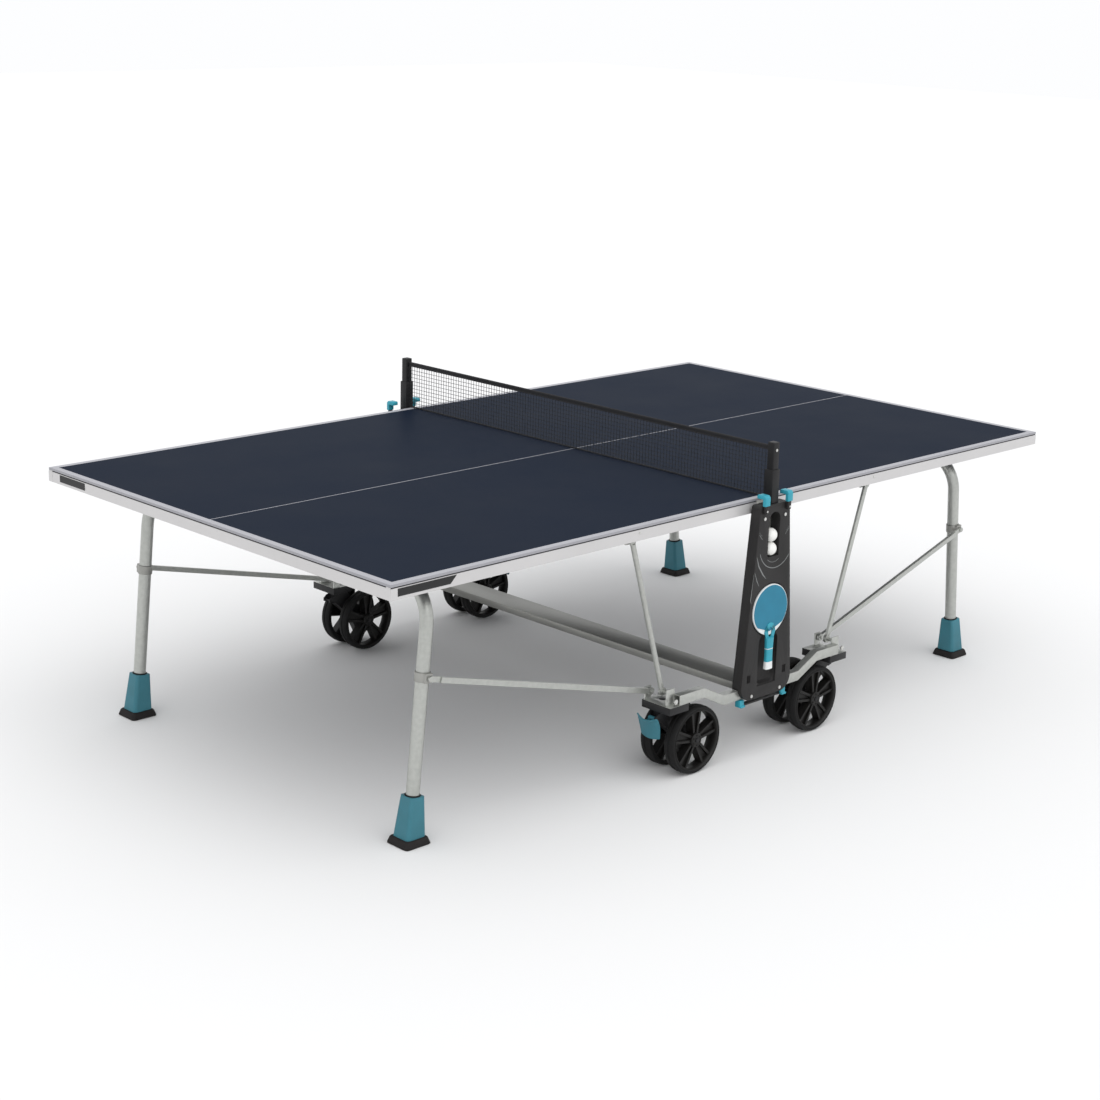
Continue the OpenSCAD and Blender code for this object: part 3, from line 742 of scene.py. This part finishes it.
for side, n in (("near", -1), ("far", 1)):
    depth = sorted((n * (FRONT + 0.002), n * (FRONT - 0.0065)))
    cuts = [cutter(rounded_bar(s * x, 0.232, 0.256, 0.0018, 4), *depth)
            for s in (-1, 1) for x in (0.072, 0.0765)]
    cuts.append(cutter(recess_outline(), *depth_through(n)))
    softened(f"pod_{side}", pod_plastic, 0.0028, 3, cut=cuts)
    tray = bmesh.new()
    rings = []
    for y, k in ((FRONT - 0.0065, -0.0010), (FRONT - 0.0100, 0.0006), (FRONT - 0.0200, 0.0022),
                 (FRONT - 0.0225, 0.0050)):
        rings.append([tray.verts.new((x, n * y, z)) for x, z in recess_outline(k)])
    for a, b in zip(rings, rings[1:]):
        for i in range(len(a)):
            j = (i + 1) % len(a)
            tray.faces.new((a[i], a[j], b[j], b[i]))
    tray.faces.new(rings[-1])
    bmesh.ops.recalc_face_normals(tray, faces=tray.faces)
    bmesh.ops.solidify(tray, geom=tray.faces[:], thickness=0.0015)
    piece(f"pod_recess_{side}", tray, pod_plastic, "trolley", smooth=50)

# %% [markdown]
# Beside the net, a teal clip hooks over the edge of each half and turns on a pin in the pod. Under
# the pod, a dark bar ends in two teal hooks that catch the frame when the table is stored.

# %% Clips and catches
def rounded_solid(name, outlines, material, body, stands_for=(), width=0.0018):
    """Solids drawn as (points, low, high, axis) and joined, with rounded edges. Axis is X or Y."""
    bm = bmesh.new()
    for points, low, high, axis in outlines:
        part = bmesh.new()
        slab(part, points, low, high)
        if axis == "X":
            for v in part.verts:
                v.co = Vector((v.co.y, v.co.x, v.co.z))
        held = bpy.data.meshes.new("part")
        part.to_mesh(held)
        part.free()
        bm.from_mesh(held)
    bmesh.ops.recalc_face_normals(bm, faces=bm.faces)
    bmesh.ops.bevel(bm, geom=bm.edges[:], offset=width, segments=3, affect="EDGES",
                    clamp_overlap=True, profile=0.5)
    return piece(name, bm, material, body, stands_for, smooth=45)


def rectangle(u0, u1, v0, v1):
    return [(u0, v0), (u1, v0), (u1, v1), (u0, v1)]


for side, n in (("near", -1), ("far", 1)):
    for end in ("left", "right"):
        node = f"clip_{side}_{end}"
        low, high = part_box(node)
        x, top, base = (low[0] + high[0]) / 2, high[2], low[2]
        face = max(abs(low[1]), abs(high[1]))
        inner = min(abs(low[1]), abs(high[1]))
        under = top - 0.012
        hook = [(n * face, base + 0.024), (n * face, top - 0.006), (n * (face - 0.006), top),
                (n * (inner + 0.003), top), (n * inner, top - 0.003), (n * inner, under),
                (n * (face - 0.0115), under), (n * (face - 0.0115), base + 0.024)]
        arm = rectangle(n * (face - 0.0015), n * (face - 0.0115), base, base + 0.026)
        rounded_solid(node + "_hook", [(hook, x - 0.0105, x + 0.0105, "X")], clip_plastic, node, (node,))
        rounded_solid(node + "_arm", [(arm, x - 0.0072, x + 0.0072, "X")], pod_plastic, node, (), 0.003)
    node = f"catch_{side}"
    low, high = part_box(node)
    z0, z1 = low[2], high[2]
    y0, y1 = sorted((abs(low[1]), abs(high[1])))
    bar = rectangle(-0.084, 0.084, z0 + 0.0005, z0 + 0.0075)
    stubs = [(rectangle(x - 0.0035, x + 0.0035, z0 + 0.006, z1),
              *sorted((n * (y0 + 0.004), n * (y1 - 0.004))), "Y")
             for x in (-0.030, 0.030)]
    rounded_solid(node + "_bar",
                  [(bar, *sorted((n * (y0 + 0.001), n * (y1 - 0.001))), "Y"), *stubs], black_plastic,
                  node, (node,), 0.0012)
    for s in (-1, 1):
        hook = [(n * (y0 - 0.001), z0), (n * (y1 + 0.009), z0), (n * (y1 + 0.009), z0 + 0.005),
                (n * (y1 + 0.004), z0 + 0.007), (n * (y1 + 0.004), z0 + 0.0215),
                (n * (y0 - 0.001), z0 + 0.0215)]
        rounded_solid(f"{node}_hook_{'left' if s < 0 else 'right'}",
                      [(hook, s * 0.091 - 0.0095, s * 0.091 + 0.0095, "X")], clip_plastic, node)
print("clips and catches made")

# %% [markdown]
# Pale lines decorate the front: arcs under the balls and short strokes at the sides. They are a
# few tenths of a millimetre proud, as a printed film is.

# %% Lines on the pods
def stroke(bm, points, width, y):
    """A flat ribbon along (x, z) points, tapered at its ends."""
    rows = []
    for i, (x, z) in enumerate(points):
        a, b = points[max(i - 1, 0)], points[min(i + 1, len(points) - 1)]
        along = Vector((b[0] - a[0], 0, b[1] - a[1])).normalized()
        side = Vector((-along.z, 0, along.x)) * width * (0.5 if 0 < i < len(points) - 1 else 0.15)
        rows.append([bm.verts.new(Vector((x, y, z)) + k * side) for k in (-1, 1)])
    for (a, b), (c, d) in zip(rows, rows[1:]):
        bm.faces.new((a, b, d, c))


for side, n in (("near", -1), ("far", 1)):
    bm = bmesh.new()
    y = n * (FRONT + 0.0003)
    stroke(bm, ring_points(0.072, 28, (0.012, 0.632), 196, 130), 0.0022, y)
    stroke(bm, ring_points(0.040, 12, (0.004, 0.618), 225, 80), 0.0012, y)
    for s in (-1, 1):
        stroke(bm, [(s * 0.064, 0.668), (s * 0.050, 0.652)], 0.0045, y)
        stroke(bm, [(s * 0.066, 0.676), (s * 0.052, 0.662)], 0.0020, y)
    stroke(bm, [(-0.070, 0.604), (-0.060, 0.576), (-0.040, 0.548), (-0.026, 0.534)], 0.0038, y)
    stroke(bm, [(-0.076, 0.560), (-0.064, 0.532), (-0.054, 0.516)], 0.0028, y)
    stroke(bm, [(-0.079, 0.556), (-0.088, 0.480), (-0.084, 0.470)], 0.0024, y)
    piece(f"pod_lines_{side}", bm, pod_accent, "trolley")
print("pods dressed")

# %% [markdown]
# ## The brake pedals
# A pedal is a scoop: a broad, dished plate for the sole of a shoe, with a lip at its outer edge. It
# is a grid of points bent by a formula, given thickness, and shaded smooth.

# %% Pedals
def pedal(node, s):
    """A scoop that slopes down from its lip towards the wheels, wide outside them."""
    low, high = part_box(node)
    mid = (low[1] + high[1]) / 2
    pin = joints[node + "_press"]["pos_m"]
    cols, rows = 16, 13
    grid = []
    for i in range(cols):
        u = i / (cols - 1)
        line = []
        for j in range(rows):
            v = 2 * j / (rows - 1) - 1
            away = 0.032 - 0.030 * u + 0.010 * u * u
            drop = 0.006 - 0.062 * u ** 1.25 + 0.010 * v * v * (1 - 0.5 * u)
            if u < 0.2:
                drop -= 0.30 * (0.2 - u) ** 1.0 * 0.1
            half = 0.040 * (1 - 0.30 * abs(u - 0.45) ** 1.5)
            line.append(bm_point(pin, s, away - 0.006 * v * v, mid + half * v, drop))
        grid.append(line)
    bm = bmesh.new()
    grid = [[bm.verts.new(p) for p in line] for line in grid]
    for a, b in zip(grid, grid[1:]):
        for j in range(rows - 1):
            bm.faces.new((a[j], a[j + 1], b[j + 1], b[j]))
    bmesh.ops.recalc_face_normals(bm, faces=bm.faces)
    bmesh.ops.solidify(bm, geom=bm.faces[:], thickness=0.0035)
    lathe(bm, [(0.0032, -0.0115), (0.0062, -0.0115), (0.0065, 0.0115), (0.0032, 0.0115)],
          (pin[0], mid, pin[2]), turns=24)
    for y in (-0.007, 0.007):
        x0, x1 = sorted((pin[0] + s * 0.004, pin[0] + s * 0.017))
        box(bm, (x0, mid + y - 0.0015, pin[2] - 0.016), (x1, mid + y + 0.0015, pin[2] - 0.001))
    return piece(node + "_pedal", bm, teal_plastic, node, stands_for=(node,), smooth=50)


def bm_point(pin, s, away, y, drop):
    """A point beside the pedal's pin: `away` from the wheels, `drop` above or below it."""
    return (pin[0] + s * away, y, pin[2] + drop)


pedal("brake_near_left", -1)
pedal("brake_far_right", 1)
print("pedals made")

# %% [markdown]
# ## The bat
# The bat is an outdoor one, moulded in one piece: a white core whose edge shows, a textured teal
# face on each side, and a teal grip that runs up over the blade in a fork. The outlines are drawn
# as points, and each layer is a slab with its rim stepped in to catch the light.

# %% Blade, faces and grip
blade_low, blade_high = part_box("bat_blade")
grip_low, grip_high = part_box("bat_handle")
blade_mid = Vector((0, (blade_low[1] + blade_high[1]) / 2,
                    blade_high[2] - (blade_high[0] - blade_low[0]) / 2))
BLADE = (blade_high[0] - blade_low[0]) / 2


def blade_outline(inset, count=72, cut=None):
    """A bat's blade: round above, its shoulders drawn in towards the grip."""
    points = []
    for i in range(count):
        a = 2 * math.pi * i / count
        x, z = math.cos(a), math.sin(a)
        if z < 0:
            x *= 1 - 0.10 * z * z
        r = BLADE - inset
        points.append((blade_mid.x + r * x, blade_mid.z + r * z))
    if cut is not None:
        points = [(x, max(z, cut(x))) for x, z in points]
    return points


def cushion_slab(bm, outline, y0, y1, rim):
    """A slab whose front and back edges are chamfered by `rim`."""
    cx = sum(p[0] for p in outline) / len(outline)
    cz = sum(p[1] for p in outline) / len(outline)

    def shrunk(k):
        out = []
        for x, z in outline:
            d = math.hypot(x - cx, z - cz) or 1
            out.append((x - (x - cx) / d * k, z - (z - cz) / d * k))
        return out

    rings = [[bm.verts.new((x, y, z)) for x, z in shrunk(k)]
             for y, k in ((y0, rim), (y0 + rim, 0), (y1 - rim, 0), (y1, rim))]
    bm.faces.new(rings[0])
    bm.faces.new(rings[-1][::-1])
    for a, b in zip(rings, rings[1:]):
        for i in range(len(outline)):
            j = (i + 1) % len(outline)
            bm.faces.new((a[i], a[j], b[j], b[i]))


bm = bmesh.new()
cushion_slab(bm, blade_outline(0), blade_low[1] + 0.0015, blade_high[1] - 0.0015, 0.0008)
piece("bat_core", bm, bat_white, "bat", stands_for=("bat_blade",), smooth=30)
bm = bmesh.new()
for y0, y1 in ((blade_low[1], blade_low[1] + 0.0016), (blade_high[1] - 0.0016, blade_high[1])):
    cushion_slab(bm, blade_outline(0.003, cut=lambda x: blade_mid.z - 0.064 + 0.35 * abs(x)), y0, y1, 0.0005)
piece("bat_faces", bm, bat_face, "bat", smooth=30)


def grip(bm, z0, z1, grow=0.0):
    """A length of the grip: a rounded section that swells towards the butt."""
    steps = 10
    middle = (grip_low[1] + grip_high[1]) / 2
    rings = []
    for i in range(steps + 1):
        z = z0 + (z1 - z0) * i / steps
        k = (z - grip_low[2]) / (grip_high[2] - grip_low[2])
        half_x = 0.0150 - 0.0016 * math.sin(math.pi * min(max(k, 0), 1)) + grow
        half_y = (grip_high[1] - grip_low[1]) / 2 - 0.0008 * math.sin(math.pi * min(max(k, 0), 1)) + grow
        ring = []
        for j in range(28):
            a = 2 * math.pi * j / 28
            c, s = math.cos(a), math.sin(a)
            ring.append(bm.verts.new((half_x * math.copysign(abs(c) ** 0.6, c),
                                      middle + half_y * math.copysign(abs(s) ** 0.6, s), z)))
        rings.append(ring)
    bm.faces.new(rings[0][::-1])
    bm.faces.new(rings[-1])
    for a, b in zip(rings, rings[1:]):
        for j in range(28):
            bm.faces.new((a[j], a[(j + 1) % 28], b[(j + 1) % 28], b[j]))


bm = bmesh.new()
grip(bm, grip_low[2] + 0.022, grip_high[2])
fork_outer = [(-0.0145, 0.350), (-0.0180, 0.360), (-0.0225, 0.372), (-0.0190, 0.386),
              (-0.0110, 0.397), (0, 0.401),
              (0.0110, 0.397), (0.0190, 0.386), (0.0225, 0.372), (0.0180, 0.360), (0.0145, 0.350)]
fork_inner = [(-0.0040, 0.357), (-0.0065, 0.362), (-0.0090, 0.370), (-0.0080, 0.379),
              (-0.0045, 0.385), (0, 0.387),
              (0.0045, 0.385), (0.0080, 0.379), (0.0090, 0.370), (0.0065, 0.362), (0.0040, 0.357)]
for (a, b), (c, d) in zip(zip(fork_outer, fork_outer[1:]), zip(fork_inner, fork_inner[1:])):
    slab(bm, [a, b, d, c], blade_low[1] - 0.0022, blade_low[1] + 0.001)
slab(bm, [(-0.0145, 0.350), (0.0145, 0.350), (0.0040, 0.357), (-0.0040, 0.357)], blade_low[1] - 0.0022,
     blade_low[1] + 0.001)
piece("bat_grip", bm, clip_plastic, "bat", stands_for=("bat_handle",), smooth=50)
bm = bmesh.new()
grip(bm, grip_low[2], grip_low[2] + 0.022)
grip(bm, grip_low[2] + 0.060, grip_low[2] + 0.062, 0.0003)
piece("bat_butt", bm, bat_white, "bat", smooth=50)
print("bat made")

# %% [markdown]
# ## The balls
# A ball is two cups welded at a seam. Each is a fine sphere with a slight ridge where they meet.

# %% Balls with a seam
low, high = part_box("balls")
ball_d = high[0] - low[0]
bm = bmesh.new()
for z in (low[2] + ball_d / 2, high[2] - ball_d / 2):
    at = Vector(((low[0] + high[0]) / 2, (low[1] + high[1]) / 2, z))
    made = bmesh.ops.create_uvsphere(bm, u_segments=48, v_segments=32, radius=ball_d / 2 - 0.0001)
    for v in made["verts"]:
        if abs(v.co.z) < 0.0006:
            v.co *= 1.004
    bmesh.ops.rotate(bm, verts=made["verts"], cent=(0, 0, 0), matrix=Matrix.Rotation(0.6, 3, "X"))
    bmesh.ops.translate(bm, verts=made["verts"], vec=at)
piece("balls_with_seams", bm, ball_shell, "balls", stands_for=("balls",), smooth=60)

# %% [markdown]
# ## The net's tapes
# A woven tape binds the top of the net. It is folded over the cord, so it is a flat tube with a
# row of stitches along its lower edge. A tree sets the stitches along the tape.

# %% Tapes and stitches
low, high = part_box("net_tapes")
bm = bmesh.new()
TAPE_TOP, TAPE_H, TAPE_T = high[2], 0.015, (high[0] - low[0]) / 2
section = [(0, 0), (TAPE_T * 0.55, -0.0004), (TAPE_T, -0.0022), (TAPE_T, -0.0050), (TAPE_T * 0.45, -0.0075),
           (TAPE_T * 0.45, -TAPE_H), (-TAPE_T * 0.45, -TAPE_H), (-TAPE_T * 0.45, -0.0075), (-TAPE_T, -0.0050),
           (-TAPE_T, -0.0022), (-TAPE_T * 0.55, -0.0004)]
slab(bm, [(x, TAPE_TOP + z) for x, z in section], low[1], high[1])
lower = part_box("net_mesh")[0][2]
slab(bm, [(-0.0012, low[2]), (0.0012, low[2]), (0.0012, lower + 0.001), (-0.0012, lower + 0.001)],
     low[1] + 0.0035, high[1] - 0.0035)
tapes = piece("net_bindings", bm, tape_weave, "net", stands_for=("net_tapes",), smooth=50)

row = Tree("row_of_stitches")
r_count = row.input("Count", "Int", 300)
r_pitch = row.input("Pitch", "Float", 0.005)
r_start = row.input("Start", "Vector", (0.0, 0.0, 0.0))
r_material = row.input("Material", "Material", None)
stitch = row.node("GeometryNodeMeshCube", Size=(0.0006, 0.0030, 0.0007))
spots = row.node("GeometryNodeMeshLine", Count=r_count, Start_Location=r_start, Offset=row.vector(y=r_pitch))
set_along = row.node("GeometryNodeInstanceOnPoints", Points=spots.outputs[0], Instance=stitch.outputs[0])
row.close(set_along.outputs[0], r_material)
thread = finish("thread", (0.05, 0.05, 0.055), 0.8, mottle=0.2, mottle_scale=300)
both_rows = bmesh.new()
for s in (-1, 1):
    mesh = grow("stitches", row, Count=int((high[1] - low[1] - 0.006) / 0.005), Pitch=0.005,
                Start=(s * TAPE_T * 0.45, low[1] + 0.004, TAPE_TOP - TAPE_H + 0.002), Material=thread)
    both_rows.from_mesh(mesh)
piece("net_stitches", both_rows, thread, "net")

# %% [markdown]
# The net is cloth held taut between its posts, cut to a rectangle. The area given is three tenths of
# that rectangle, which is the least that a sheet may declare. It isn't a measure of the net: the
# cord really covers about a quarter of the rectangle.

low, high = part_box("net_mesh")
